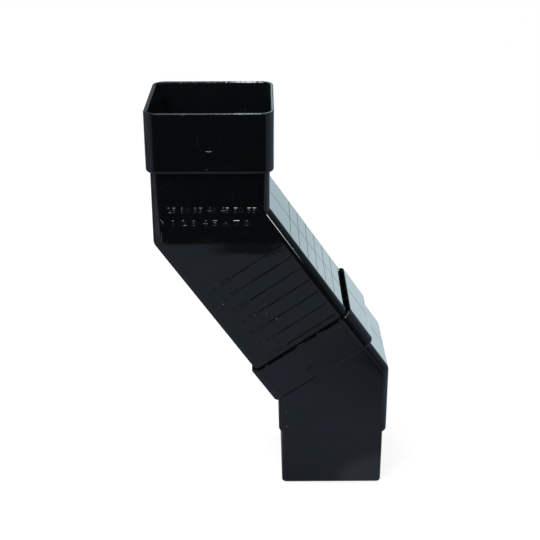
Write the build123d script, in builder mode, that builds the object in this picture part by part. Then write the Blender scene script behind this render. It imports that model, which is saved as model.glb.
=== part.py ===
from build123d import *

import os
from math import cos, radians, sin, tan

# Adjustable offset bend for a square downpipe, in millimetres.
# Two thin-walled mouldings push together: the long arm of the upper bend slides into the collar of the
# lower bend and stops on the seat inside it. Sawing the arm off at one of its cut lines gives a smaller
# offset between the two pipes. +Z is up, the arm leans towards +X, and the origin is the centre of the
# top socket's rim, on the axis of the incoming pipe.

# The square downpipe that the bend joins
pipe_width = 65.0
pipe_corner = 5.0
wall = 2.0
fit = 0.25

# Lean of the arm from the upright, and sideways distance between the two pipe axes
deflection = 35.0
full_offset = 70.0

# Upper bend
socket_depth = 31.5
rim_to_bend = 65.5

# Lower bend
collar_depth = 22.2
collar_to_mitre = 0.5
bend_to_step = 32.7
spigot_length = 36.3

# Rounded and chamfered edges
outer_bend_round = 6.0
inner_bend_round = 2.0
step_round = 1.7
rim_round = 0.6
mouth_chamfer = 0.6
arm_chamfer = 0.8
spigot_round = 1.0

# Cut lines across the arm, measured from its bend
first_line = 30.4
line_pitch = 8.8
line_margin = 6.0
front_line_length = 34.5
front_line_width = 0.9
front_line_depth = 0.4
front_line_slope = 45.0
upper_line_width = 0.4
upper_line_depth = 0.25

# Mould seam that runs down the middle of the inner and outer faces
seam_width = 0.7
seam_depth = 0.3

# Round recess where the plastic was fed in, on the front of the top socket
gate_diameter = 12.1
gate_depth = 0.25
gate_chamfer = 0.2
gate_below_rim = 14.5

# Widths that follow from the pipe, the wall and the fit
arm_width = pipe_width
arm_bore = arm_width - 2 * wall
socket_bore = pipe_width + 2 * fit
socket_width = socket_bore + 2 * wall
spigot_width = arm_bore - 2 * fit
spigot_bore = spigot_width - 2 * wall
body_bore = spigot_width
body_width = body_bore + 2 * wall

# The seat inside the collar, placed so that the collar ends clear of the mitre of the lower bend
lean = radians(deflection)
seat_to_bend = wall + body_width / 2 * tan(lean / 2) + collar_to_mitre

# Points on the axis, from the top rim down to the step above the spigot
along_arm = Vector(sin(lean), 0, -cos(lean))
across_arm = Vector(cos(lean), 0, sin(lean))
bend_to_bend = full_offset / sin(lean)
arm_length = bend_to_bend - seat_to_bend
top_rim = Vector(0, 0, 0)
upper_corner = Vector(0, 0, -rim_to_bend)
arm_end = upper_corner + along_arm * arm_length
collar_rim = arm_end - along_arm * collar_depth
lower_corner = upper_corner + along_arm * bend_to_bend
body_end = lower_corner - Vector(0, 0, bend_to_step)

# Planes across the axis, each facing down the flow, and the two directions of flow
rim_plane = Plane(origin=top_rim, x_dir=(1, 0, 0), z_dir=(0, 0, -1))
collar_plane = Plane(origin=collar_rim, x_dir=across_arm, z_dir=along_arm)
body_end_plane = Plane(origin=body_end, x_dir=(1, 0, 0), z_dir=(0, 0, -1))
down_axis = Axis(origin=top_rim, direction=(0, 0, -1))
arm_axis = Axis(origin=upper_corner, direction=along_arm)

# Planes of the arm's front face and of its upper face, both with x along the arm
arm_front_plane = Plane(
    origin=upper_corner - Vector(0, arm_width / 2, 0), x_dir=along_arm, z_dir=(0, -1, 0)
)
arm_upper_plane = Plane(
    origin=upper_corner + across_arm * arm_width / 2, x_dir=along_arm, z_dir=across_arm
)
gate_plane = Plane(origin=(0, -socket_width / 2, -gate_below_rim), z_dir=(0, -1, 0))

# Distance of each cut line along the arm, and middle of the part of it that is on the front
line_count = 1 + int((arm_length - first_line) / line_pitch)
line_stations = [first_line + line_pitch * number for number in range(line_count)]
front_line_centre = arm_width / 2 - line_margin - front_line_length / 2


def corner_radius(width):
    """Corner radius of a square section of this width, concentric with the corners of the pipe."""
    return pipe_corner + (width - pipe_width) / 2


def square_section(width):
    """Square with rounded corners, drawn on the plane of the sketch it is called in."""
    RectangleRounded(width, width, corner_radius(width))


def front_view(point):
    """Place of a point of the axis on a sketch of the front view."""
    return Vector(point.X, point.Z)


def bent_strip(start, bend, end, width):
    """Front view of a bar of this width, mitred and softened where it turns."""
    spread = (width - pipe_width) / 2
    to_start = (start - bend).normalized()
    to_end = (end - bend).normalized()
    inward = (to_start + to_end).normalized()
    to_inside = inward * (width / 2 / to_start.cross(inward).length)
    start_side = to_inside - to_start * to_inside.dot(to_start)
    end_side = to_inside - to_end * to_inside.dot(to_end)
    inside_edge = [start + start_side, bend + to_inside, end + end_side]
    outside_edge = [end - end_side, bend - to_inside, start - start_side]
    with BuildSketch() as strip:
        with BuildLine():
            Polyline(*[front_view(point) for point in inside_edge + outside_edge], close=True)
        make_face()
        inside_corner = strip.vertices().sort_by_distance(front_view(bend + to_inside))[0]
        fillet(inside_corner, inner_bend_round - spread)
        outside_corner = strip.vertices().sort_by_distance(front_view(bend - to_inside))[0]
        fillet(outside_corner, outer_bend_round + spread)
    return strip.sketch


def bent_bar(start, bend, end, width):
    """Solid square bar with rounded corners, from start round its bend to end."""
    with BuildPart() as bar:
        with BuildSketch(Plane.XZ):
            add(bent_strip(start, bend, end, width))
        extrude(amount=width / 2, both=True)
        start_face = bar.faces().sort_by_distance(start)[0]
        end_face = bar.faces().sort_by_distance(end)[0]
        rails = bar.faces().filter_by(Axis.Y).edges() - start_face.edges() - end_face.edges()
        fillet(rails, corner_radius(width))
    return bar.part


def bent_seam(start, bend, end, width):
    """Shallow groove down the middle of the two faces of a bar that turn with its bend."""
    with BuildPart() as seam:
        with BuildSketch(Plane.XZ):
            add(bent_strip(start, bend, end, width))
            add(bent_strip(start, bend, end, width - 2 * seam_depth), mode=Mode.SUBTRACT)
        extrude(amount=seam_width / 2, both=True)
    return seam.part


def socket_seam(mouth_plane, length):
    """The same groove down both sides of a socket that starts at this plane."""
    with BuildPart() as seam:
        with BuildSketch(mouth_plane):
            with GridLocations(socket_width - seam_depth, 0, 2, 1):
                Rectangle(seam_depth, seam_width)
        extrude(amount=length)
    return seam.part


def finish_mouth(bend, flow_axis):
    """Chamfer the inner edge of the mouth where this axis enters, and round its outer edge."""
    rim = bend.faces().filter_by(flow_axis).sort_by(flow_axis)[0]
    chamfer(rim.inner_wires()[0].edges(), mouth_chamfer)
    rim = bend.faces().filter_by(flow_axis).sort_by(flow_axis)[0]
    fillet(rim.outer_wire().edges(), rim_round)


# Upper bend: top socket, short body, bend and long arm, all one shell
with BuildPart() as upper_bend:
    add(bent_bar(top_rim, upper_corner, arm_end, arm_width))
    arm_face = upper_bend.faces().sort_by_distance(arm_end)[0]
    chamfer(arm_face.edges(), arm_chamfer)
    add(bent_seam(top_rim, upper_corner, arm_end, arm_width), mode=Mode.SUBTRACT)

    # Top socket around the body, with a rounded step below it
    with BuildSketch(rim_plane):
        square_section(socket_width)
    extrude(amount=socket_depth + wall)
    socket_step = upper_bend.faces().filter_by(Axis.Z).sort_by(Axis.Z)[0]
    fillet(socket_step.outer_wire().edges(), step_round)

    # Bore right through, and the recess that the pipe drops into
    add(bent_bar(top_rim, upper_corner, arm_end, arm_bore), mode=Mode.SUBTRACT)
    with BuildSketch(rim_plane):
        square_section(socket_bore)
    extrude(amount=socket_depth, mode=Mode.SUBTRACT)
    finish_mouth(upper_bend, down_axis)
    add(socket_seam(rim_plane, socket_depth + wall), mode=Mode.SUBTRACT)
    with BuildSketch(gate_plane):
        Circle(gate_diameter / 2)
    extrude(amount=-gate_depth, mode=Mode.SUBTRACT)
    chamfer(upper_bend.edges().filter_by(GeomType.CIRCLE).sort_by(Axis.Y)[0], gate_chamfer)

    # Cut lines over the front, the back and the upper face of the arm
    with BuildSketch(arm_front_plane):
        with Locations(*[(station, front_line_centre) for station in line_stations]):
            Rectangle(front_line_width, front_line_length)
    front_lines = extrude(amount=-front_line_depth, taper=front_line_slope, mode=Mode.SUBTRACT)
    mirror(front_lines, about=Plane.XZ, mode=Mode.SUBTRACT)
    with BuildSketch(arm_upper_plane):
        with Locations(*[(station, 0) for station in line_stations]):
            Rectangle(upper_line_width, arm_width - 2 * line_margin)
    extrude(amount=-upper_line_depth, mode=Mode.SUBTRACT)

upper_bend.part.label = "upper_bend"

# Lower bend: collar, short body, bend and reduced spigot, all one shell
with BuildPart() as lower_bend:
    add(bent_bar(collar_rim, lower_corner, body_end, body_width))
    body_face = lower_bend.faces().sort_by_distance(body_end)[0]
    fillet(body_face.edges(), step_round)
    add(bent_seam(collar_rim, lower_corner, body_end, body_width), mode=Mode.SUBTRACT)

    # Spigot below the body
    with BuildSketch(body_end_plane):
        square_section(spigot_width)
    extrude(amount=spigot_length)
    spigot_face = lower_bend.faces().sort_by(Axis.Z)[0]
    fillet(spigot_face.edges(), spigot_round)

    # Collar around the arm, with a rounded step where the body leaves it
    with BuildSketch(collar_plane):
        square_section(socket_width)
    extrude(amount=collar_depth + wall)
    collar_step = lower_bend.faces().filter_by(arm_axis).sort_by(arm_axis)[-1]
    fillet(collar_step.outer_wire().edges(), step_round)

    # Bore through body and spigot, and the recess that holds the arm down to its seat
    add(
        bent_bar(collar_rim, lower_corner, body_end + Vector(0, 0, wall), body_bore),
        mode=Mode.SUBTRACT,
    )
    with BuildSketch(body_end_plane.offset(-wall)):
        square_section(spigot_bore)
    extrude(amount=wall + spigot_length, mode=Mode.SUBTRACT)
    with BuildSketch(collar_plane):
        square_section(socket_bore)
    extrude(amount=collar_depth, mode=Mode.SUBTRACT)
    finish_mouth(lower_bend, arm_axis)
    add(socket_seam(collar_plane, collar_depth + wall), mode=Mode.SUBTRACT)

lower_bend.part.label = "lower_bend"

os.makedirs("parts", exist_ok=True)
export_step(upper_bend.part, "parts/upper_bend.step")
export_step(lower_bend.part, "parts/lower_bend.step")
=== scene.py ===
"""Looks of an adjustable offset bend for a square downpipe, in black gloss plastic.

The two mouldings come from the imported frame. This script gives them their moulded plastic, adds the
raised plain numbers that the tool leaves on it, and sets the studio and the camera round them. Lengths of
the object are written in millimetres and turned into metres where they are used, in the frame of the
model: +Z is up, and the origin is the centre of the top socket's rim.
"""

import logging
import math
from dataclasses import dataclass
from enum import Enum
from typing import Any

import bpy
from mathutils import Matrix, Vector


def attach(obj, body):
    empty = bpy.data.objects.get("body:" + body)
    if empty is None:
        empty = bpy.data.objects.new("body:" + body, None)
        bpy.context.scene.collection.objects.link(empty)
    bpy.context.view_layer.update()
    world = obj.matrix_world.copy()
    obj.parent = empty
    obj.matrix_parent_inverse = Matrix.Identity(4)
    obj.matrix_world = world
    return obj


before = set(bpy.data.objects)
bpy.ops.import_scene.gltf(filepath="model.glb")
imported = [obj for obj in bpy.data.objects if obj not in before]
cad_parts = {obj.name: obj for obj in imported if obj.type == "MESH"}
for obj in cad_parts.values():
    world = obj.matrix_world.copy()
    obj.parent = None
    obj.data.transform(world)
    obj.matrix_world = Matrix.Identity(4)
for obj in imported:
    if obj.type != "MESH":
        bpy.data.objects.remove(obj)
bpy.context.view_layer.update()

log = logging.getLogger("offset_bend")

MM = 0.001
BODY = "root"
Colour = tuple[float, float, float]

# An eased change of a value: where it starts, where it is complete, and the results there if not 0 and 1
Fade = tuple[float, ...]

# Where a Mix node keeps its colour sockets, behind those of its other kinds of value
MIX_COLOUR_INPUTS = (6, 7)
MIX_COLOUR_OUTPUT = 2


class Side(Enum):
    """A face of the arm that carries raised numbers, with the y direction it looks in."""

    FRONT = -1.0
    BACK = 1.0


class Relief(Enum):
    """How raised numbers leave the tool: width of their sloped edge in mm, and its steepness."""

    CRISP = (0.17, 1.0)
    SOFT = (0.24, 0.3)


class Mark(Enum):
    """What a small mark does to the plastic: how pale it is, how far it dulls the gloss, how dark it is."""

    WHITE = (0.70, 0.50, 0.0)
    GREY = (0.22, 0.30, 0.0)
    FAINT = (0.08, 0.15, 0.0)
    # A painted sheen: a pale patch that stands in for a bright reflection
    SMEAR = (0.075, 0.0, 0.0)
    # These two take the gloss off a line so that it reads dark; along the collar's step they are painted
    # shade
    GROOVE = (0.0, 0.0, 0.62)
    SOFT_GROOVE = (0.0, 0.0, 0.25)


class Ray(Enum):
    """An output of the Light Path node."""

    CAMERA = "Is Camera Ray"
    GLOSSY = "Is Glossy Ray"


class NodeSheet:
    """A node tree with short ways to add and join its nodes."""

    def __init__(self, tree: bpy.types.NodeTree) -> None:
        """Start on an empty tree.

        Args:
            tree: The node tree of a material, a world or a node group.
        """
        self.tree = tree
        tree.nodes.clear()

    def add(self, kind: str, **settings: Any) -> bpy.types.Node:
        """Add one node.

        Args:
            kind: The node's type name.
            **settings: Properties to set on the node.

        Returns:
            The new node.
        """
        node = self.tree.nodes.new(kind)
        for name, value in settings.items():
            setattr(node, name, value)
        return node

    def feed(self, socket: bpy.types.NodeSocket, source: Any) -> None:
        """Join a source to a socket, or write it there when it is a plain value.

        Args:
            socket: The input socket.
            source: An output socket, or a number, colour or vector.
        """
        if isinstance(source, bpy.types.NodeSocket):
            self.tree.links.new(source, socket)
        else:
            socket.default_value = source

    def maths(self, operation: str, *values: Any) -> bpy.types.NodeSocket:
        """Add a Math node.

        Args:
            operation: The node's operation, such as "MULTIPLY".
            *values: A number or an output socket for each input in use.

        Returns:
            The node's output socket.
        """
        node = self.add("ShaderNodeMath", operation=operation)
        for socket, value in zip(node.inputs, values):
            self.feed(socket, value)
        return node.outputs[0]

    def arrows(self, operation: str, *values: Any) -> bpy.types.Node:
        """Add a Vector Math node.

        Args:
            operation: The node's operation, such as "SUBTRACT".
            *values: A vector or an output socket for each input in use.

        Returns:
            The node, whose outputs are a vector and a value.
        """
        node = self.add("ShaderNodeVectorMath", operation=operation)
        for socket, value in zip(node.inputs, values):
            self.feed(socket, value)
        return node

    def minus(self, place: Any, origin: Any) -> bpy.types.NodeSocket:
        """Subtract one vector from another."""
        return self.arrows("SUBTRACT", place, origin).outputs["Vector"]

    def dot(self, first: Any, second: Any) -> bpy.types.NodeSocket:
        """Take the dot product of two vectors."""
        return self.arrows("DOT_PRODUCT", first, second).outputs["Value"]

    def axes(self, place: Any) -> tuple[bpy.types.NodeSocket, ...]:
        """Split a vector.

        Args:
            place: The vector socket.

        Returns:
            The sockets of its x, y and z.
        """
        node = self.add("ShaderNodeSeparateXYZ")
        self.feed(node.inputs[0], place)
        return tuple(node.outputs)

    def ease(
        self, value: Any, start: Any, end: Any, low: Any = 0.0, high: Any = 1.0
    ) -> bpy.types.NodeSocket:
        """Ease a value from low at start to high at end, with flat ends.

        Args:
            value: The number or output socket that is read.
            start: Where the result is low.
            end: Where the result is high.
            low: Result at the start.
            high: Result at the end.

        Returns:
            The output socket.
        """
        node = self.add("ShaderNodeMapRange", interpolation_type="SMOOTHSTEP")
        names = ("Value", "From Min", "From Max", "To Min", "To Max")
        for name, number in zip(names, (value, start, end, low, high)):
            self.feed(node.inputs[name], number)
        return node.outputs["Result"]

    def within(self, *edges: tuple[Any, float, float]) -> bpy.types.NodeSocket:
        """Multiply several eased edges into one mask.

        Args:
            *edges: A value, where the mask is 0, and where it is 1, for each edge.

        Returns:
            The mask's socket.
        """
        mask = self.ease(*edges[0])
        for edge in edges[1:]:
            mask = self.maths("MULTIPLY", mask, self.ease(*edge))
        return mask

    def blend(self, factor: Any, first: Any, second: Any) -> bpy.types.NodeSocket:
        """Blend two colours.

        Args:
            factor: 0 gives the first colour and 1 the second.
            first: Colour or output socket.
            second: Colour or output socket.

        Returns:
            The blended colour's socket.
        """
        node = self.add("ShaderNodeMix", data_type="RGBA")
        self.feed(node.inputs[0], factor)
        for place, colour in zip(MIX_COLOUR_INPUTS, (first, second)):
            source = colour if isinstance(colour, bpy.types.NodeSocket) else (*colour, 1.0)
            self.feed(node.inputs[place], source)
        return node.outputs[MIX_COLOUR_OUTPUT]

    def tint(self, colour: Any, factor: Any) -> bpy.types.NodeSocket:
        """Multiply a colour by a number.

        Args:
            colour: Colour or output socket.
            factor: Number or output socket.

        Returns:
            The darker or brighter colour's socket.
        """
        return self.arrows("MULTIPLY", colour, factor).outputs["Vector"]

    def total(self, *values: Any) -> bpy.types.NodeSocket:
        """Add several numbers up.

        Args:
            *values: Numbers or output sockets.

        Returns:
            The sum's socket.
        """
        whole = values[0]
        for value in values[1:]:
            whole = self.maths("ADD", whole, value)
        return whole

    def noise(
        self, place: Any, scale: float, detail: float = 2.0, roughness: float = 0.5
    ) -> bpy.types.NodeSocket:
        """Add a Noise Texture.

        Args:
            place: The vector socket that it reads.
            scale: Patches to the metre.
            detail: How many finer layers it has.
            roughness: How strong the finer layers are.

        Returns:
            Its value's socket.
        """
        node = self.add("ShaderNodeTexNoise")
        self.feed(node.inputs["Vector"], place)
        for name, number in (("Scale", scale), ("Detail", detail), ("Roughness", roughness)):
            node.inputs[name].default_value = number
        return node.outputs["Fac"]

    def stretch(self, place: Any, turned: float, scale: tuple[float, float, float]) -> bpy.types.NodeSocket:
        """Turn a place about Y and scale it along its own axes.

        Args:
            place: The vector socket that is read.
            turned: Turn about Y, in degrees.
            scale: Factor along each axis after the turn.

        Returns:
            The changed place's socket.
        """
        turn = self.add("ShaderNodeMapping", vector_type="POINT")
        self.feed(turn.inputs["Vector"], place)
        turn.inputs["Rotation"].default_value = (0.0, math.radians(turned), 0.0)
        return self.arrows("MULTIPLY", turn.outputs[0], scale).outputs[0]

    def group(self, tree: bpy.types.NodeTree, **values: Any) -> bpy.types.Node:
        """Place a node group and fill its inputs.

        Args:
            tree: The group's tree.
            **values: Input names, with "_" for a space, and what feeds them.

        Returns:
            The group's node.
        """
        node = self.add("ShaderNodeGroup", node_tree=tree)
        for name, value in values.items():
            self.feed(node.inputs[name.replace("_", " ")], value)
        return node


class SurfaceEffects:
    """Node groups of the plastic's surface effects. Each is built once and shared by the finishes."""

    # Patches to the metre of each pattern
    TONE_PATCHES = 24.0
    TONE_FLECKS = 130.0
    SUNK_WAVES = 26.0
    RIPPLES = 85.0
    ORANGE_PEEL = 700.0
    RUB_LINES = 1500.0
    SLANTING_RUBS = 1100.0
    RUBBED_AREAS = 42.0
    DUST_SPECKS = 160.0
    NICKS = 210.0
    BURRS = 330.0
    FILM_CLOUDS = 55.0
    LINE_DUST = 95.0

    # How much flecks count in the tone, and ripples and orange peel in the height of the waves
    FLECK_SHARE = 0.35
    RIPPLE_SHARE = 0.16
    PEEL_SHARE = 0.006

    # Turn about Y and squeeze along the line of the two kinds of rub
    RUB_TURN, RUB_SQUEEZE = -35.0, (1.0, 1.0, 0.035)
    SLANT_TURN, SLANT_SQUEEZE = 28.0, (0.03, 1.0, 1.0)

    def __init__(self) -> None:
        """Build every group."""
        self.moulding = self.build_moulding()
        self.handling = self.build_handling()
        self.wear = self.build_wear()
        self.scuff = self.build_scuff()
        self.bore = self.build_bore()
        self.lines = self.build_lines()

    def open(self, name: str, inputs: dict[str, str], outputs: dict[str, str]) -> tuple[NodeSheet, Any, Any]:
        """Start a group.

        Args:
            name: The group's name.
            inputs: Each input's name and socket type.
            outputs: Each output's name and socket type.

        Returns:
            Its sheet, the sockets that bring its inputs, and the sockets that take its outputs.
        """
        tree = bpy.data.node_groups.new(name, "ShaderNodeTree")
        for socket, kind in inputs.items():
            tree.interface.new_socket(socket, in_out="INPUT", socket_type=kind)
        for socket, kind in outputs.items():
            tree.interface.new_socket(socket, in_out="OUTPUT", socket_type=kind)
        sheet = NodeSheet(tree)
        given = sheet.add("NodeGroupInput").outputs
        taken = sheet.add("NodeGroupOutput").inputs
        return sheet, given, taken

    def build_moulding(self) -> bpy.types.NodeTree:
        """Tone patches of the cooled plastic, and the slight waves that sinking leaves in its walls.

        Returns:
            The group's tree.
        """
        sheet, given, taken = self.open(
            "moulded_wall",
            {"Place": "NodeSocketVector"},
            {"Tone": "NodeSocketFloat", "Height": "NodeSocketFloat"},
        )
        place = given["Place"]
        patches = sheet.maths("MULTIPLY", sheet.noise(place, self.TONE_PATCHES, 1.0), 1.0 - self.FLECK_SHARE)
        flecks = sheet.maths("MULTIPLY", sheet.noise(place, self.TONE_FLECKS, 2.0), self.FLECK_SHARE)
        sheet.feed(taken["Tone"], sheet.ease(sheet.maths("ADD", patches, flecks), 0.36, 0.64))
        waves = sheet.noise(place, self.SUNK_WAVES, 0.0)
        ripples = sheet.maths("MULTIPLY", sheet.noise(place, self.RIPPLES, 1.0), self.RIPPLE_SHARE)
        orange_peel = sheet.maths("MULTIPLY", sheet.noise(place, self.ORANGE_PEEL, 1.0), self.PEEL_SHARE)
        sheet.feed(taken["Height"], sheet.total(waves, ripples, orange_peel))
        return sheet.tree

    def build_handling(self) -> bpy.types.NodeTree:
        """Fine rub lines along a moulding and across it, and specks of dust.

        Returns:
            The group's tree.
        """
        sheet, given, taken = self.open(
            "handling_marks",
            {"Place": "NodeSocketVector"},
            {"Rubs": "NodeSocketFloat", "Dust": "NodeSocketFloat"},
        )
        place = given["Place"]
        along = sheet.stretch(place, self.RUB_TURN, self.RUB_SQUEEZE)
        lengthways = sheet.noise(along, self.RUB_LINES, 1.0)
        across = sheet.stretch(place, self.SLANT_TURN, self.SLANT_SQUEEZE)
        slanting = sheet.noise(across, self.SLANTING_RUBS, 1.0)
        patchy = sheet.ease(sheet.noise(place, self.RUBBED_AREAS, 1.0), 0.46, 0.66)
        rubs = sheet.maths("MAXIMUM", sheet.ease(lengthways, 0.66, 0.76), sheet.ease(slanting, 0.69, 0.78))
        sheet.feed(taken["Rubs"], sheet.maths("MULTIPLY", rubs, patchy))
        cells = sheet.add("ShaderNodeTexVoronoi")
        sheet.feed(cells.inputs["Vector"], place)
        cells.inputs["Scale"].default_value = self.DUST_SPECKS
        tint = sheet.add("ShaderNodeSeparateColor")
        sheet.feed(tint.inputs[0], cells.outputs["Color"])
        dust = sheet.within((cells.outputs["Distance"], 0.05, 0.025), (tint.outputs[0], 0.86, 0.93))
        sheet.feed(taken["Dust"], dust)
        return sheet.tree

    def build_wear(self) -> bpy.types.NodeTree:
        """Wear and small burrs along a flat edge, such as a socket's rim.

        Returns:
            The group's tree.
        """
        sheet, given, taken = self.open(
            "rim_wear",
            {"Place": "NodeSocketVector", "Rim Point": "NodeSocketVector", "Rim Normal": "NodeSocketVector",
             "Depth": "NodeSocketFloat"},
            {"Wear": "NodeSocketFloat", "Height": "NodeSocketFloat"},
        )
        place = given["Place"]
        away = sheet.minus(place, given["Rim Point"])
        depth = sheet.maths("ABSOLUTE", sheet.dot(away, given["Rim Normal"]))
        near = sheet.ease(sheet.maths("DIVIDE", depth, given["Depth"]), 1.0, 0.15)
        nicks = sheet.ease(sheet.noise(place, self.NICKS, 3.0, 0.62), 0.50, 0.66)
        sheet.feed(taken["Wear"], sheet.maths("MULTIPLY", near, nicks))
        burr = sheet.noise(place, self.BURRS, 2.0)
        sheet.feed(taken["Height"], sheet.maths("MULTIPLY", near, burr))
        return sheet.tree

    def build_scuff(self) -> bpy.types.NodeTree:
        """One small mark: a short line with soft edges.

        Returns:
            The group's tree.
        """
        sheet, given, taken = self.open(
            "short_mark",
            {"Place": "NodeSocketVector", "Start": "NodeSocketVector", "Run": "NodeSocketVector",
             "Width": "NodeSocketFloat"},
            {"Mark": "NodeSocketFloat"},
        )
        away = sheet.minus(given["Place"], given["Start"])
        run = given["Run"]
        ahead = sheet.dot(away, run)
        whole = sheet.dot(run, run)
        share = sheet.maths("DIVIDE", ahead, whole)
        share = sheet.maths("MINIMUM", sheet.maths("MAXIMUM", share, 0.0), 1.0)
        along = sheet.arrows("MULTIPLY", run, share).outputs["Vector"]
        gap = sheet.arrows("LENGTH", sheet.minus(away, along)).outputs["Value"]
        sheet.feed(taken["Mark"], sheet.ease(sheet.maths("DIVIDE", gap, given["Width"]), 1.0, 0.3))
        return sheet.tree

    def build_bore(self) -> bpy.types.NodeTree:
        """Film of dust on the walls inside an upright socket and the bore below it.

        Returns:
            The group's tree.
        """
        sheet, given, taken = self.open(
            "bore_film",
            {"Place": "NodeSocketVector", "Socket Half": "NodeSocketFloat", "Socket Foot": "NodeSocketFloat",
             "Bore Half": "NodeSocketFloat", "Bore Foot": "NodeSocketFloat"},
            {"Film": "NodeSocketFloat"},
        )
        x, y, z = sheet.axes(given["Place"])
        half = sheet.maths("MAXIMUM", sheet.maths("ABSOLUTE", x), sheet.maths("ABSOLUTE", y))
        masks = []
        for hollow in ("Socket", "Bore"):
            inside = sheet.maths("LESS_THAN", half, given[f"{hollow} Half"])
            above = sheet.maths("GREATER_THAN", z, given[f"{hollow} Foot"])
            masks.append(sheet.maths("MULTIPLY", inside, above))
        film = sheet.maths("MAXIMUM", *masks)
        cloudy = sheet.ease(sheet.noise(given["Place"], self.FILM_CLOUDS, 2.0), 0.25, 0.75, 0.7, 1.0)
        sheet.feed(taken["Film"], sheet.maths("MULTIPLY", film, cloudy))
        return sheet.tree

    def build_lines(self) -> bpy.types.NodeTree:
        """Dust that has settled unevenly in the cut lines on the front and the back of the arm.

        Returns:
            The group's tree.
        """
        sheet, given, taken = self.open(
            "cut_line_dust",
            {"Place": "NodeSocketVector", "Arm Point": "NodeSocketVector", "Across": "NodeSocketVector",
             "Reach": "NodeSocketFloat", "Face": "NodeSocketFloat"},
            {"Dust": "NodeSocketFloat"},
        )
        place = given["Place"]
        away = sheet.minus(place, given["Arm Point"])
        across = sheet.maths("ABSOLUTE", sheet.dot(away, given["Across"]))
        _, y, _ = sheet.axes(place)
        below = sheet.maths("LESS_THAN", sheet.maths("ABSOLUTE", y), given["Face"])
        flat = sheet.maths("LESS_THAN", across, given["Reach"])
        patchy = sheet.ease(sheet.noise(place, self.LINE_DUST, 1.0), 0.36, 0.62)
        sheet.feed(taken["Dust"], sheet.maths("MULTIPLY", sheet.maths("MULTIPLY", below, flat), patchy))
        return sheet.tree


@dataclass(frozen=True)
class BendSizes:
    """Sizes of the bend that its looks are placed by, in millimetres and degrees."""

    pipe_width: float = 65.0
    wall: float = 2.0
    socket_width: float = 69.5
    socket_depth: float = 31.5
    body_width: float = 64.5
    spigot_width: float = 60.5
    deflection: float = 35.0
    rim_to_bend: float = 65.5
    collar_rim: float = 87.17
    first_line: float = 30.4
    line_pitch: float = 8.8
    line_margin: float = 6.0
    lines_in_view: int = 7
    first_offset: int = 25
    offset_step: int = 5

    @property
    def lean(self) -> float:
        """Lean of the arm from the upright, in radians."""
        return math.radians(self.deflection)

    @property
    def along_arm(self) -> Vector:
        """Direction down the arm."""
        return Vector((math.sin(self.lean), 0.0, -math.cos(self.lean)))

    @property
    def across_arm(self) -> Vector:
        """Direction out of the arm's upper face."""
        return Vector((math.cos(self.lean), 0.0, math.sin(self.lean)))

    def on_arm(self, station: float, across: float, width: float, side: Side = Side.FRONT) -> Vector:
        """Find a point on the front or back of a square that runs along the arm.

        Args:
            station: Distance along the arm from its bend, in millimetres.
            across: Distance from the arm's axis towards its upper face, in millimetres.
            width: Width of the square, in millimetres.
            side: The face that the point is on.

        Returns:
            The point, in metres.
        """
        corner = Vector((0.0, side.value * width / 2, -self.rim_to_bend))
        return (corner + self.along_arm * station + self.across_arm * across) * MM

    def on_body(self, x: float, z: float, width: float) -> Vector:
        """Find a point on the front of an upright square.

        Args:
            x: Distance to the right of the top socket's axis, in millimetres.
            z: Height, in millimetres.
            width: Width of the square, in millimetres.

        Returns:
            The point, in metres.
        """
        return Vector((x, -width / 2, z)) * MM


@dataclass(frozen=True)
class SmallMark:
    """A short line on the plastic, from a start to an end in metres, with its half width in millimetres."""

    start: Vector
    end: Vector
    width: float
    kind: Mark


@dataclass(frozen=True)
class WornRim:
    """The plane of a rim that catches knocks: a point of it, its normal, and how deep the wear goes in mm."""

    point: Vector
    normal: Vector
    depth: float = 1.1


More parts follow.
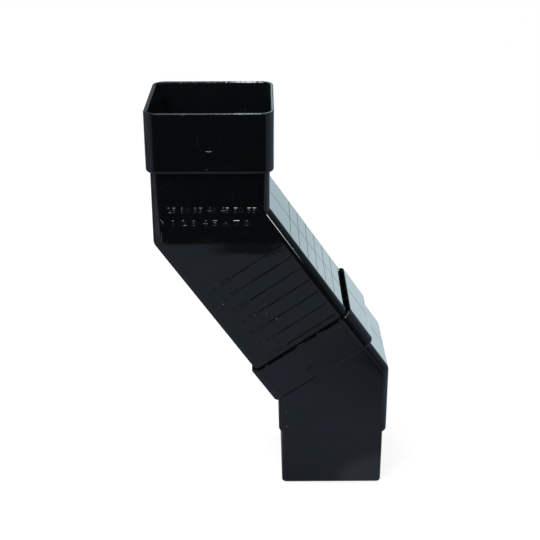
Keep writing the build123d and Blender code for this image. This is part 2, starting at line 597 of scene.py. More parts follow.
@dataclass(frozen=True)
class GlossPlastic:
    """Finish of a black gloss moulding: near-black patches, slight waves, rub lines, dust and worn rims."""

    name: str
    effects: SurfaceEffects
    rims: tuple[WornRim, ...] = ()
    marks: tuple[SmallMark, ...] = ()
    arm_of: BendSizes | None = None
    green_black: Colour = (0.0017, 0.0030, 0.0027)
    blue_black: Colour = (0.0026, 0.0027, 0.0036)
    # Grey of dust, rubs and pale marks; on the body's front-left corner and at the spigot's lower right, the
    # pale marks are painted highlights and a painted sheen
    dust_grey: Colour = (0.20, 0.22, 0.22)
    burr_grey: Colour = (0.030, 0.038, 0.036)
    film_grey: Colour = (0.0058, 0.0073, 0.0080)
    line_grey: Colour = (0.0105, 0.0120, 0.0135)
    roughness: float = 0.030
    rubbed_roughness: float = 0.16
    ior: float = 1.75
    wave_height: float = 0.12
    rub_depth: float = 0.0005
    burr_height: float = 0.05
    rub_paleness: float = 0.05
    dust_paleness: float = 0.4
    worn_dullness: float = 0.6

    # Share of the wall past its inner face, and millimetres below the arm's face, where dust begins or ends
    film_past_wall: float = 0.25
    line_floor: float = 0.06

    def build(self) -> bpy.types.Material:
        """Make the material.

        Returns:
            The finished material.
        """
        material = bpy.data.materials.new(self.name)
        material.use_nodes = True
        sheet = NodeSheet(material.node_tree)
        output = sheet.add("ShaderNodeOutputMaterial")
        shader = sheet.add("ShaderNodeBsdfPrincipled")
        sheet.feed(output.inputs["Surface"], shader.outputs["BSDF"])
        shader.inputs["IOR"].default_value = self.ior
        place = sheet.add("ShaderNodeTexCoord").outputs["Object"]
        wall = sheet.group(self.effects.moulding, Place=place)
        handling = sheet.group(self.effects.handling, Place=place)
        rubs, dust = handling.outputs["Rubs"], handling.outputs["Dust"]

        colour = sheet.blend(wall.outputs["Tone"], self.green_black, self.blue_black)
        colour = sheet.blend(sheet.maths("MULTIPLY", rubs, self.rub_paleness), colour, self.dust_grey)
        if self.arm_of is not None:
            colour = self.settle_dust(sheet, place, colour, self.arm_of)
        pale = sheet.maths("MULTIPLY", dust, self.dust_paleness)
        dull = sheet.maths("MULTIPLY", sheet.maths("MAXIMUM", rubs, dust), self.worn_dullness)
        height = sheet.maths("MULTIPLY", wall.outputs["Height"], self.wave_height)
        height = sheet.maths("SUBTRACT", height, sheet.maths("MULTIPLY", rubs, self.rub_depth))
        dark = 0.0
        for mark in self.marks:
            drawn = sheet.group(
                self.effects.scuff, Place=place, Start=mark.start, Run=mark.end - mark.start,
                Width=mark.width * MM,
            ).outputs["Mark"]
            paleness, dullness, darkness = mark.kind.value
            if paleness:
                pale = sheet.maths("MAXIMUM", pale, sheet.maths("MULTIPLY", drawn, paleness))
                dull = sheet.maths("MAXIMUM", dull, sheet.maths("MULTIPLY", drawn, dullness))
            if darkness:
                dark = sheet.maths("MAXIMUM", dark, sheet.maths("MULTIPLY", drawn, darkness))
        # Pale marks, painted highlights and a painted sheen among them, blend to this grey
        colour = sheet.blend(pale, colour, self.dust_grey)

        for rim in self.rims:
            worn = sheet.group(
                self.effects.wear, Place=place, Rim_Point=rim.point, Rim_Normal=rim.normal,
                Depth=rim.depth * MM,
            ).outputs
            colour = sheet.blend(worn["Wear"], colour, self.burr_grey)
            dull = sheet.maths("MAXIMUM", dull, sheet.maths("MULTIPLY", worn["Wear"], self.worn_dullness))
            height = sheet.maths("ADD", height, sheet.maths("MULTIPLY", worn["Height"], self.burr_height))
        sheet.feed(shader.inputs["Base Color"], colour)
        # A metallic share of near-black plastic takes its gloss away, so that the mark reads dark; along the
        # collar's step this is painted shade
        sheet.feed(shader.inputs["Metallic"], dark)
        roughness = sheet.ease(dull, 0.0, 1.0, self.roughness, self.rubbed_roughness)
        sheet.feed(shader.inputs["Roughness"], roughness)
        bump = sheet.add("ShaderNodeBump")
        bump.inputs["Strength"].default_value = 1.0
        bump.inputs["Distance"].default_value = MM
        sheet.feed(bump.inputs["Height"], height)
        sheet.feed(shader.inputs["Normal"], bump.outputs["Normal"])
        return material

    def settle_dust(
        self, sheet: NodeSheet, place: bpy.types.NodeSocket, colour: bpy.types.NodeSocket, sizes: BendSizes
    ) -> bpy.types.NodeSocket:
        """Lay dust inside the socket and the bore, and in the cut lines of the arm.

        Args:
            sheet: The material's nodes.
            place: Object coordinates.
            colour: The plastic's colour so far.
            sizes: Sizes of the bend.

        Returns:
            The colour with the dust on it.
        """
        inner_wall = sizes.wall * (1.0 - self.film_past_wall)
        film = sheet.group(
            self.effects.bore, Place=place,
            Socket_Half=(sizes.socket_width / 2 - inner_wall) * MM,
            Socket_Foot=-sizes.socket_depth * MM,
            Bore_Half=(sizes.pipe_width - sizes.wall) / 2 * MM,
            Bore_Foot=-sizes.rim_to_bend * MM,
        )
        colour = sheet.blend(film.outputs["Film"], colour, self.film_grey)
        lines = sheet.group(
            self.effects.lines, Place=place, Arm_Point=sizes.on_arm(0.0, 0.0, 0.0), Across=sizes.across_arm,
            Reach=(sizes.pipe_width / 2 - sizes.line_margin) * MM,
            Face=(sizes.pipe_width / 2 - self.line_floor) * MM,
        )
        return sheet.blend(lines.outputs["Dust"], colour, self.line_grey)


@dataclass(frozen=True)
class Mouldings:
    """The two mouldings of the frame, and the plastic that dresses them."""

    sizes: BendSizes
    effects: SurfaceEffects
    collar_wear: float = 0.8

    def upper_marks(self) -> tuple[SmallMark, ...]:
        """List the small marks on the upper bend: painted highlights on the body's front-left corner, pale
        specks, rubs, and worn places by the labels.

        Returns:
            The marks on its body, along its arm, and below its gate recess.
        """
        arm, body = self.sizes.on_arm, self.sizes.on_body
        width, socket = self.sizes.pipe_width, self.sizes.socket_width
        return (
            # Painted highlights: a bright tick and a fainter line along the body's front-left corner, where
            # its rounding catches the light
            SmallMark(body(-27.6, -60.1, width), body(-26.5, -61.2, width), 0.28, Mark.WHITE),
            SmallMark(body(-26.5, -61.2, width), body(-26.2, -62.6, width), 0.26, Mark.WHITE),
            SmallMark(body(-27.4, -67.6, width), body(-27.3, -73.6, width), 0.24, Mark.GREY),
            SmallMark(arm(41.2, -21.8, width), arm(41.4, -21.7, width), 0.36, Mark.WHITE),
            SmallMark(arm(57.3, -11.05, width), arm(57.5, -10.6, width), 0.34, Mark.WHITE),
            SmallMark(arm(66.15, -2.6, width), arm(66.2, -2.1, width), 0.36, Mark.WHITE),
            SmallMark(arm(54.8, -1.9, width), arm(55.4, -2.5, width), 0.24, Mark.GREY),
            SmallMark(arm(56.6, -3.6, width), arm(57.6, -4.4, width), 0.24, Mark.GREY),
            SmallMark(arm(58.8, -5.0, width), arm(61.0, -5.4, width), 0.24, Mark.GREY),
            SmallMark(arm(31.6, 20.6, width), arm(34.6, 22.3, width), 0.30, Mark.FAINT),
            SmallMark(arm(32.8, 20.2, width), arm(35.0, 21.4, width), 0.45, Mark.SOFT_GROOVE),
            SmallMark(arm(32.6, 23.2, width), arm(34.4, 25.4, width), 0.45, Mark.SOFT_GROOVE),
            SmallMark(body(-1.6, -30.8, socket), body(-1.1, -30.8, socket), 0.30, Mark.GREY),
        )

    def lower_marks(self) -> tuple[SmallMark, ...]:
        """List the small marks on the lower bend: painted shade along the collar's step, the worn strokes, a
        painted sheen on the spigot and pale specks.

        Returns:
            The marks on its collar, its spigot and its body.
        """
        arm, body = self.sizes.on_arm, self.sizes.on_body
        width, spigot, lower_body = self.sizes.socket_width, self.sizes.spigot_width, self.sizes.body_width
        return (
            # Painted shade: a dark line along the collar's step that stands in for the dark reflection in its
            # rounding
            SmallMark(arm(109.45, -27.0, width), arm(109.45, -3.5, width), 0.75, Mark.GROOVE),
            SmallMark(arm(109.45, -9.0, width), arm(109.5, 0.0, width), 0.70, Mark.SOFT_GROOVE),
            SmallMark(arm(101.4, -5.4, width), arm(103.8, -5.4, width), 0.40, Mark.GROOVE),
            SmallMark(arm(101.4, -3.8, width), arm(101.4, -2.0, width), 0.40, Mark.GROOVE),
            SmallMark(arm(101.4, -2.0, width), arm(103.8, -3.2, width), 0.40, Mark.GROOVE),
            SmallMark(arm(101.6, 3.8, width), arm(103.9, 3.8, width), 0.36, Mark.SOFT_GROOVE),
            SmallMark(arm(101.6, 5.2, width), arm(103.9, 5.2, width), 0.36, Mark.SOFT_GROOVE),
            SmallMark(arm(103.3, 4.4, width), arm(103.5, 4.7, width), 0.22, Mark.GREY),
            SmallMark(arm(89.9, 24.2, width), arm(91.2, 26.0, width), 0.26, Mark.FAINT),
            # Painted sheen: a paler patch at the spigot's lower right, in place of a bright reflection there
            SmallMark(body(88.0, -232.0, spigot), body(101.0, -226.5, spigot), 19.0, Mark.SMEAR),
            SmallMark(body(42.0, -183.3, lower_body), body(42.1, -184.0, lower_body), 0.44, Mark.GREY),
            SmallMark(body(42.2, -192.9, lower_body), body(42.3, -193.3, lower_body), 0.44, Mark.WHITE),
        )

    def dress(self) -> dict[str, bpy.types.Material]:
        """Give every slot of each moulding its plastic.

        Returns:
            The material of each moulding, by the name of its node.
        """
        sizes = self.sizes
        top_rim = WornRim(Vector(), Vector((0.0, 0.0, 1.0)))
        collar_rim = WornRim(sizes.on_arm(sizes.collar_rim, 0.0, 0.0), sizes.along_arm, self.collar_wear)
        plastics = {
            "upper_bend": GlossPlastic(
                "upper_bend_gloss_black", self.effects, (top_rim,), self.upper_marks(), sizes
            ),
            "lower_bend": GlossPlastic(
                "lower_bend_gloss_black", self.effects, (collar_rim,), self.lower_marks()
            ),
        }
        dressed = {}
        for node, plastic in plastics.items():
            dressed[node] = plastic.build()
            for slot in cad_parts[node].material_slots:
                slot.material = dressed[node]
        return dressed


@dataclass(frozen=True)
class NumberLine:
    """One line of raised plain numbers: its figures, its middle in metres, its axes, and its size in mm."""

    figures: str
    middle: Vector
    reading: Vector
    outward: Vector
    width: float
    height: float
    relief: Relief


@dataclass(frozen=True)
class RaisedNumbers:
    """Plain numbers that the tool leaves on the mouldings, half sunk in the wall."""

    sizes: BendSizes
    effects: SurfaceEffects
    letter_size: float = 5.0
    letter_spacing: float = 1.12
    curve_steps: int = 4
    thickness: float = 0.01
    merge_gap: float = 0.0005
    label_middle: float = -15.0
    label_width: float = 11.5
    label_height: float = 3.2
    offsets_middle: tuple[float, float] = (0.4, -54.9)
    offsets_size: tuple[float, float] = (49.0, 3.4)
    line_numbers_middle: tuple[float, float] = (0.0, -62.4)
    line_numbers_size: tuple[float, float] = (42.6, 3.7)

    def figure(self, line: NumberLine) -> bpy.types.Object:
        """Model one line of numbers.

        Args:
            line: The line's figures and place.

        Returns:
            Its mesh object, with its place in the mesh.
        """
        slope, steepness = line.relief.value
        bpy.ops.object.select_all(action="DESELECT")
        bpy.ops.object.text_add()
        piece = bpy.context.object
        text = piece.data
        text.body = line.figures
        text.size = self.letter_size
        text.space_character = self.letter_spacing
        text.resolution_u = self.curve_steps
        text.extrude = self.thickness
        text.bevel_depth = slope
        text.bevel_resolution = 0
        bpy.ops.object.convert(target="MESH")
        piece = bpy.context.object
        bpy.ops.object.mode_set(mode="EDIT")
        bpy.ops.mesh.select_all(action="SELECT")
        bpy.ops.mesh.remove_doubles(threshold=self.merge_gap)
        bpy.ops.mesh.normals_make_consistent(inside=False)
        bpy.ops.mesh.faces_shade_flat()
        bpy.ops.object.mode_set(mode="OBJECT")
        corners = [vertex.co for vertex in piece.data.vertices]
        low = Vector([min(corner[axis] for corner in corners) for axis in range(3)])
        high = Vector([max(corner[axis] for corner in corners) for axis in range(3)])
        span = high - low
        piece.data.transform(Matrix.Translation(-(low + high) / 2))
        fitted = (line.width / span.x, line.height / span.y, steepness * line.height / span.y, 1.0)
        piece.data.transform(Matrix.Diagonal(fitted))
        upward = line.outward.cross(line.reading)
        turn = Matrix((line.reading, upward, line.outward)).transposed().to_4x4()
        piece.data.transform(Matrix.Translation(line.middle) @ turn @ Matrix.Scale(MM, 4))
        return piece

    def arm_lines(self, side: Side) -> list[NumberLine]:
        """List the labels of the cut lines on one side of the arm, each with its number and its offset.

        Args:
            side: The side of the arm.

        Returns:
            One line of numbers for each cut line in view.
        """
        sizes = self.sizes
        reading = sizes.across_arm * -side.value
        outward = Vector((0.0, side.value, 0.0))
        lines = []
        for number in range(sizes.lines_in_view):
            station = sizes.first_line + sizes.line_pitch * number
            offset = sizes.first_offset + sizes.offset_step * number
            middle = sizes.on_arm(station, self.label_middle, sizes.pipe_width, side)
            lines.append(NumberLine(
                f"{number + 1} {offset}", middle, reading, outward, self.label_width, self.label_height,
                Relief.SOFT,
            ))
        return lines

    def body_lines(self) -> list[NumberLine]:
        """List the two rows on the front of the body: the offsets, and the numbers of their cut lines.

        Returns:
            The two rows. The last number is that of the line which the collar hides.
        """
        sizes = self.sizes
        reading, outward = Vector((1.0, 0.0, 0.0)), Vector((0.0, -1.0, 0.0))
        offsets = [sizes.first_offset + sizes.offset_step * number for number in range(sizes.lines_in_view)]
        line_numbers = range(1, sizes.lines_in_view + 2)
        rows = (
            (offsets, self.offsets_middle, self.offsets_size),
            (line_numbers, self.line_numbers_middle, self.line_numbers_size),
        )
        return [
            NumberLine(
                " ".join(str(number) for number in numbers), sizes.on_body(*middle, sizes.pipe_width),
                reading, outward, *size, Relief.CRISP,
            )
            for numbers, middle, size in rows
        ]

    def build(self) -> list[bpy.types.Object]:
        """Model all the numbers and dress them.

        Returns:
            One object for each place that carries numbers.
        """
        bright = GlossPlastic(
            "number_gloss_black", self.effects, green_black=(0.0030, 0.0046, 0.0044),
            blue_black=(0.0048, 0.0050, 0.0060), roughness=0.05, wave_height=0.03,
        ).build()
        matt = GlossPlastic(
            "number_matt_black", self.effects, green_black=(0.0012, 0.0020, 0.0018),
            blue_black=(0.0018, 0.0019, 0.0024), roughness=0.34, rubbed_roughness=0.42, wave_height=0.03,
        ).build()
        places = {
            "arm_numbers_front": (self.arm_lines(Side.FRONT), matt),
            "arm_numbers_back": (self.arm_lines(Side.BACK), matt),
            "body_numbers": (self.body_lines(), bright),
        }
        pieces = []
        for name, (lines, plastic) in places.items():
            parts = [self.figure(line) for line in lines]
            bpy.ops.object.select_all(action="DESELECT")
            for part in parts:
                part.select_set(True)
            bpy.context.view_layer.objects.active = parts[0]
            bpy.ops.object.join()
            piece = parts[0]
            piece.name = name
            piece.data.materials.clear()
            piece.data.materials.append(plastic)
            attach(piece, BODY)
            pieces.append(piece)
        return pieces


@dataclass(frozen=True)
class StudioColours:
    """Colours of the studio as gloss shows them, and as plain surfaces and the camera see the room."""

    dim: Colour = (0.168, 0.190, 0.258)
    dim_green: Colour = (0.158, 0.196, 0.246)
    teal: Colour = (0.080, 0.125, 0.140)
    haze: Colour = (0.17, 0.24, 0.23)
    dark: Colour = (0.012, 0.014, 0.016)
    bright_far: Colour = (0.90, 1.17, 1.26)
    bright_near: Colour = (1.11, 1.36, 1.45)
    ceiling: Colour = (0.46, 0.52, 0.52)
    rail_white: Colour = (10.0, 10.4, 10.4)
    lamp_white: Colour = (8.0, 8.4, 8.4)
    strip_white: Colour = (12.0, 12.6, 13.2)
    pale: Colour = (0.75, 0.75, 0.75)
    white: Colour = (1.0, 1.0, 1.0)


@dataclass(frozen=True)
class SoftPatch:
    """A soft-edged patch: a fade for each side that it has."""

    left: Fade
    right: Fade | None = None
    foot: Fade | None = None
    head: Fade | None = None

    def mask(self, sheet: NodeSheet, across: Any, up: Any) -> bpy.types.NodeSocket:
        """Make the patch's mask.

        Args:
            sheet: The nodes that it is for.
            across: The value that its left and right are read off.
            up: The value that its foot and head are read off.

        Returns:
            The mask's socket.
        """
        sides = ((across, self.left), (across, self.right), (up, self.foot), (up, self.head))
        return sheet.within(*((value, *fade) for value, fade in sides if fade is not None))


@dataclass(frozen=True)
class ToneSpot:
    """A round spot of the floor whose tone in gloss differs, painted shade where its share is below 0 and
    painted light above: its middle, its fade outwards, and its share.
    """

    middle: tuple[float, float]
    fade: Fade
    share: float


@dataclass(frozen=True)
class ToneBand:
    """A band of the floor whose tone in gloss differs, painted shade where its share is below 0 and painted
    light above: its fade in y, its fades in x, and its share.
    """

    in_y: Fade
    in_x: tuple[Fade, ...]
    share: float


@dataclass(frozen=True)
class StudioFloor:
    """Pale floor, in metres. It is white to the camera apart from the shadow, and dim or bright in gloss,
    with a painted shadow under the object.
    """

    colours: StudioColours
    height: float = -0.2351
    left: float = -0.70
    right: float = 0.90
    front: float = -0.4162
    back: float = 0.60
    paint_grey: Colour = (0.30, 0.30, 0.30)
    paint_glow: float = 0.80
    clouds: float = 14.0
    cloud_fade: Fade = (0.40, 0.60)

    # The patch that mirrors the bright panel: lean and place of its two slanted sides, and its fades
    patch_left_line: tuple[float, float] = (0.25, 0.07)
    patch_right_line: tuple[float, float] = (0.65, 0.10)
    patch_left: Fade = (0.0, 0.04)
    patch_right: Fade = (0.02, 0.0)
    patch_front: Fade = (-0.02, 0.10)

    # Painted shade and light in the floor's reflection: the last spot and the first two bands are a painted
    # shadow under the object, the third band is painted light, and the other spots and the last band are
    # painted shade
    spots: tuple[ToneSpot, ...] = (
        ToneSpot((0.15, -0.20), (0.12, 0.05), -0.28),
        ToneSpot((0.15, -0.20), (0.058, 0.03), -0.62),
        ToneSpot((0.15, -0.05), (0.050, 0.02), -0.30),
        ToneSpot((0.045, -0.030), (0.050, 0.0), -0.15),
    )
    bands: tuple[ToneBand, ...] = (
        ToneBand((-0.06, 0.02), ((0.07, 0.03),), -0.55),
        ToneBand((-0.03, 0.01), ((0.03, 0.07), (0.20, 0.16)), -0.45),
        ToneBand((-0.12, -0.03), ((0.12, 0.16),), 0.40),
        ToneBand((-0.384, -0.397), ((-0.035, 0.005), (0.055, 0.030)), -0.78),
    )

    def build(self) -> bpy.types.Object:
        """Lay the floor, with the object's shadow on it.

        Returns:
            The floor's object.
        """
        bpy.ops.object.select_all(action="DESELECT")
        bpy.ops.mesh.primitive_plane_add(size=1.0)
        floor = bpy.context.object
        floor.name = "studio_floor"
        extent = (self.right - self.left, self.back - self.front, 1.0, 1.0)
        centre = Vector(((self.left + self.right) / 2, (self.front + self.back) / 2, self.height))
        floor.data.transform(Matrix.Translation(centre) @ Matrix.Diagonal(extent))
        floor.data.materials.append(self.paint())
        return floor

    def paint(self) -> bpy.types.Material:
        """Make the floor's paint.

        Returns:
            The material.
        """
        material = bpy.data.materials.new("studio_floor_paint")
        material.use_nodes = True
        sheet = NodeSheet(material.node_tree)
        output = sheet.add("ShaderNodeOutputMaterial")
        paint = sheet.add("ShaderNodeBsdfDiffuse")
        paint.inputs["Color"].default_value = (*self.paint_grey, 1.0)
        glow = sheet.add("ShaderNodeEmission")
        glow.inputs["Strength"].default_value = self.paint_glow
        lit = sheet.add("ShaderNodeAddShader")
        sheet.feed(lit.inputs[0], paint.outputs[0])
        sheet.feed(lit.inputs[1], glow.outputs[0])
        mirrored = self.mirrored(sheet)
        path = sheet.add("ShaderNodeLightPath")
        in_gloss = sheet.add("ShaderNodeMixShader")
        sheet.feed(in_gloss.inputs[0], path.outputs[Ray.GLOSSY.value])
        sheet.feed(in_gloss.inputs[1], paint.outputs[0])
        sheet.feed(in_gloss.inputs[2], mirrored)
        choice = sheet.add("ShaderNodeMixShader")
        sheet.feed(choice.inputs[0], path.outputs[Ray.CAMERA.value])
        sheet.feed(choice.inputs[1], in_gloss.outputs[0])
        sheet.feed(choice.inputs[2], lit.outputs[0])
        sheet.feed(output.inputs["Surface"], choice.outputs[0])
        return material

    def mirrored(self, sheet: NodeSheet) -> bpy.types.NodeSocket:
        """Make the glow that gloss shows in place of the paint.

        Args:
            sheet: The paint's nodes.

        Returns:
            The glow's socket.
        """
        place = sheet.add("ShaderNodeTexCoord").outputs["Object"]
        x, y, _ = sheet.axes(place)
        from_left = sheet.maths("SUBTRACT", x, sheet.maths("MULTIPLY_ADD", y, *self.patch_left_line))
        from_right = sheet.maths("SUBTRACT", x, sheet.maths("MULTIPLY_ADD", y, *self.patch_right_line))
        patch = sheet.within(
            (from_left, *self.patch_left), (from_right, *self.patch_right), (y, *self.patch_front)
        )
        changes = []
        for spot in self.spots:
            away = sheet.arrows("DISTANCE", place, (*spot.middle, self.height)).outputs["Value"]
            changes.append(sheet.ease(away, *spot.fade, 0.0, spot.share))
        for band in self.bands:
            mask = sheet.within((y, *band.in_y), *((x, *fade) for fade in band.in_x))
            changes.append(sheet.maths("MULTIPLY", mask, band.share))
        # The spots and bands paint shadow, shade and light into the floor's reflection
        tone = sheet.total(1.0, *changes)
        cloudy = sheet.ease(sheet.noise(place, self.clouds, 1.0), *self.cloud_fade)
        shade = sheet.tint(sheet.blend(cloudy, self.colours.dim, self.colours.dim_green), tone)
        glow = sheet.add("ShaderNodeEmission")
        sheet.feed(glow.inputs["Color"], sheet.blend(patch, shade, self.colours.bright_near))
        return glow.outputs[0]


@dataclass(frozen=True)
class StudioRoom:
    """The room round the object, as gloss shows it. To the camera it is white.

    Its lower half is dim, a dark card stands behind the camera, a bright panel stands at the back on the
    right, and a strip, a window and lamps overhead give the small highlights. Patches are in degrees: across
    from straight in front or straight behind, and up from level. Near the zenith, where those directions
    close up, x and y of the direction are used instead.
    """

    colours: StudioColours
    level: Fade = (3.0, -3.0)
    darker_left: Fade = (-110.0, -150.0, 0.0, -0.6)
    lighter_right: Fade = (60.0, 100.0, 0.0, 0.4)

    # Two dim patches right of the card, which turn teal below and darker above level
    low_gap: SoftPatch = SoftPatch((40.0, 44.0), head=(-1.0, -6.0))
    high_gap: SoftPatch = SoftPatch((56.0, 61.0), head=(34.0, 28.0))
    gap_teal: Fade = (8.0, 12.0)
    gap_darker: Fade = (-4.0, 2.0, 0.0, -0.35)

    # The dark card, whose lower edge has a step and is slightly uneven
    card: SoftPatch = SoftPatch((-62.0, -34.0), (54.0, 38.0), foot=(-0.3, 0.3))
    card_foot: float = -22.85
    card_step: Fade = (-4.0, -1.5, 0.0, 0.45)
    card_unevenness: float = 0.9
    card_patches: float = 14.0

    # What stands at the back, and the strip at the front on the right
    hazy_wall: SoftPatch = SoftPatch((-14.0, -9.0), (12.0, 8.0), (8.0, 11.0), (21.0, 18.0))
    panel: SoftPatch = SoftPatch((9.0, 15.0), (34.0, 31.0), head=(5.0, 0.0))
    near_panel: SoftPatch = SoftPatch((18.5, 22.0), head=(-7.0, -11.0))
    window: SoftPatch = SoftPatch((-1.8, -1.2), (1.2, 0.6), (12.5, 13.5), (17.5, 16.5))
    strip: SoftPatch = SoftPatch((39.5, 40.5), (45.5, 44.5), (3.2, 4.6), (13.0, 11.0))

    # Overhead: the ceiling, the glow round the zenith, a narrow rail of light, and a row of lamps
    ceiling_from: Fade = (60.0, 63.0)
    zenith_from: Fade = (83.0, 87.0)
    glow_front: Fade = (-0.02, 0.02)
    glow_foot: Fade = (60.0, 64.0)
    glow_rise: Fade = (-0.19, -0.03, 0.8, 4.0)
    glow_fall: Fade = (0.0, 0.03, 1.0, 0.3)
    rail: SoftPatch = SoftPatch((-0.028, -0.022), (-0.002, -0.008), foot=(71.5, 73.0))
    row_foot: Fade = (65.5, 66.5)
    row_head: Fade = (72.0, 71.0)
    row_behind: Fade = (0.02, -0.02)
    row_left: Fade = (-0.34, -0.28)
    row_right: Fade = (0.26, 0.20)
    row_strength: float = 0.6
    row_bright_left: Fade = (-0.040, -0.028)
    row_bright_right: Fade = (0.01, 0.0)

    def build(self) -> bpy.types.World:
        """Set the room as the scene's world.

        Returns:
            The world.
        """
        world = bpy.data.worlds.new("studio_room")
        bpy.context.scene.world = world
        world.use_nodes = True
        sheet = NodeSheet(world.node_tree)
        output = sheet.add("ShaderNodeOutputWorld")
        background = sheet.add("ShaderNodeBackground")
        sheet.feed(output.inputs["Surface"], background.outputs[0])
        place = sheet.add("ShaderNodeTexCoord").outputs["Generated"]
        x, y, z = sheet.axes(place)
        front = sheet.maths("DEGREES", sheet.maths("ARCTAN2", x, sheet.maths("MULTIPLY", y, -1.0)))
        back = sheet.maths("DEGREES", sheet.maths("ARCTAN2", x, y))
        height = sheet.maths("DEGREES", sheet.maths("ARCSINE", z))

        seen = self.lower_room(sheet, place, front, height)
        seen = self.upright_lights(sheet, seen, front, back, height)
        seen = self.overhead_lights(sheet, seen, x, y, height)
        path = sheet.add("ShaderNodeLightPath")
        room = sheet.blend(path.outputs[Ray.GLOSSY.value], self.colours.pale, seen)
        room = sheet.blend(path.outputs[Ray.CAMERA.value], room, self.colours.white)
        sheet.feed(background.inputs["Color"], room)
        return world

    def lower_room(self, sheet: NodeSheet, place: Any, front: Any, height: Any) -> bpy.types.NodeSocket:
        """Paint the dim lower half and the dark card in front of it.

        Args:
            sheet: The room's nodes.
            place: The direction.
            front: Degrees across from straight in front.
            height: Degrees up.

        Returns:
            The colour's socket.
        """
        colours = self.colours
        side = sheet.total(
            1.0, sheet.ease(front, *self.darker_left), sheet.ease(front, *self.lighter_right)
        )
        below = sheet.ease(height, *self.level)
        seen = sheet.blend(below, colours.dark, sheet.tint(colours.dim, side))
        low = self.low_gap.mask(sheet, front, height)
        gap = sheet.maths("MAXIMUM", low, self.high_gap.mask(sheet, front, height))
        upright = sheet.blend(sheet.ease(height, *self.gap_teal), colours.dim, colours.teal)
        shaded = sheet.total(side, sheet.ease(height, *self.gap_darker))
        seen = sheet.blend(gap, seen, sheet.tint(upright, shaded))
        foot = sheet.total(height, -self.card_foot, sheet.ease(front, *self.card_step))
        patches = sheet.noise(place, self.card_patches, 1.0)
        uneven = sheet.maths("MULTIPLY", patches, self.card_unevenness)
        foot = sheet.total(foot, uneven, -self.card_unevenness / 2)
        return sheet.blend(self.card.mask(sheet, front, foot), seen, colours.dark)

    def upright_lights(
        self, sheet: NodeSheet, seen: Any, front: Any, back: Any, height: Any
    ) -> bpy.types.NodeSocket:
        """Stand the hazy wall, the bright panel and the window at the back, and the strip in front.

        Args:
            sheet: The room's nodes.
            seen: The colour so far.
            front: Degrees across from straight in front.
            back: Degrees across from straight behind.
            height: Degrees up.

        Returns:
            The colour's socket.
        """
        colours = self.colours
        seen = sheet.blend(self.hazy_wall.mask(sheet, back, height), seen, colours.haze)
        panel = self.panel.mask(sheet, back, height)
        nearer = self.near_panel.mask(sheet, back, height)
        seen = sheet.blend(panel, seen, sheet.blend(nearer, colours.bright_far, colours.bright_near))
        seen = sheet.blend(self.window.mask(sheet, back, height), seen, colours.bright_far)
        return sheet.blend(self.strip.mask(sheet, front, height), seen, colours.strip_white)

    def overhead_lights(
        self, sheet: NodeSheet, seen: Any, x: Any, y: Any, height: Any
    ) -> bpy.types.NodeSocket:
        """Hang the ceiling, the glow round the zenith, the rail and the row of lamps.

        Args:
            sheet: The room's nodes.
            seen: The colour so far.
            x: The direction's x.
            y: The direction's y.
            height: Degrees up.

        Returns:
            The colour's socket.
        """
        colours = self.colours
        seen = sheet.blend(sheet.ease(height, *self.ceiling_from), seen, colours.ceiling)
        zenith = sheet.ease(height, *self.zenith_from)
        zenith = sheet.maths(
            "MAXIMUM", zenith, sheet.within((y, *self.glow_front), (height, *self.glow_foot))
        )
        glow = sheet.ease(x, *self.glow_rise)
        glow = sheet.maths("MULTIPLY", glow, sheet.ease(x, *self.glow_fall))
        seen = sheet.blend(zenith, seen, sheet.tint(colours.white, glow))
        seen = sheet.blend(self.rail.mask(sheet, x, height), seen, colours.rail_white)
        row = sheet.within(
            (height, *self.row_foot), (height, *self.row_head), (y, *self.row_behind),
            (x, *self.row_left), (x, *self.row_right),
        )
        bright = sheet.within((x, *self.row_bright_left), (x, *self.row_bright_right))
        bright = sheet.total(self.row_strength, bright)
        return sheet.blend(row, seen, sheet.tint(colours.lamp_white, bright))


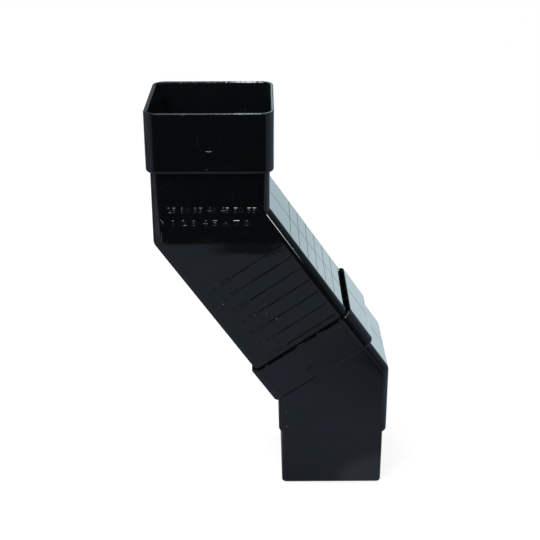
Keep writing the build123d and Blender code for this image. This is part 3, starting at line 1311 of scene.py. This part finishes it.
@dataclass(frozen=True)
class TopLamp:
    """Soft square lamp above the object, in metres and watts. It doesn't show in gloss."""

    place: tuple[float, float, float] = (-0.35, -0.35, 0.75)
    aims_at: tuple[float, float, float] = (0.03, 0.0, -0.12)
    width: float = 0.6
    power: float = 6.0

    def build(self) -> bpy.types.Object:
        """Hang the lamp.

        Returns:
            The lamp's object.
        """
        bpy.ops.object.select_all(action="DESELECT")
        bpy.ops.object.light_add(type="AREA", location=self.place)
        lamp = bpy.context.object
        lamp.name = "soft_top_lamp"
        lamp.data.shape = "RECTANGLE"
        lamp.data.size = self.width
        lamp.data.size_y = self.width
        lamp.data.energy = self.power
        aim = Vector(self.aims_at) - lamp.location
        lamp.rotation_euler = aim.to_track_quat("-Z", "Y").to_euler()
        lamp.visible_glossy = False
        return lamp


@dataclass(frozen=True)
class PhotoCamera:
    """Camera at the photograph's point of view."""

    place: tuple[float, float, float] = (0.028314, -0.585682, 0.156892)
    turned_right: float = 0.424
    looks_down: float = 24.096
    roll: float = -0.049
    lens: float = 72.226
    sensor: float = 36.0
    near_clip: float = 0.01

    def build(self) -> bpy.types.Object:
        """Add the camera and make it the scene's own.

        Returns:
            The camera's object.
        """
        data = bpy.data.cameras.new("photo_camera")
        data.lens = self.lens
        data.sensor_width = self.sensor
        data.clip_start = self.near_clip
        camera = bpy.data.objects.new("photo_camera", data)
        bpy.context.scene.collection.objects.link(camera)
        camera.matrix_world = (
            Matrix.Translation(self.place)
            @ Matrix.Rotation(math.radians(-self.turned_right), 4, "Z")
            @ Matrix.Rotation(math.radians(90.0 - self.looks_down), 4, "X")
            @ Matrix.Rotation(math.radians(self.roll), 4, "Z")
        )
        bpy.context.scene.camera = camera
        return camera


def main() -> None:
    """Build the camera, the mouldings' finish, the raised numbers and the studio, in that order."""
    logging.basicConfig(level=logging.INFO, format="%(message)s")
    bpy.context.scene.view_settings.view_transform = "Standard"
    camera = PhotoCamera().build()
    log.info("%s: at the photograph's point of view", camera.name)
    sizes = BendSizes()
    effects = SurfaceEffects()
    for node, material in Mouldings(sizes, effects).dress().items():
        log.info("%s: dressed in %s", node, material.name)
    for piece in RaisedNumbers(sizes, effects).build():
        log.info("%s: %d faces", piece.name, len(piece.data.polygons))
    colours = StudioColours()
    for part in (StudioFloor(colours), StudioRoom(colours), TopLamp()):
        built = part.build()
        log.info("%s: in place", built.name)


if __name__ == "__main__":
    main()
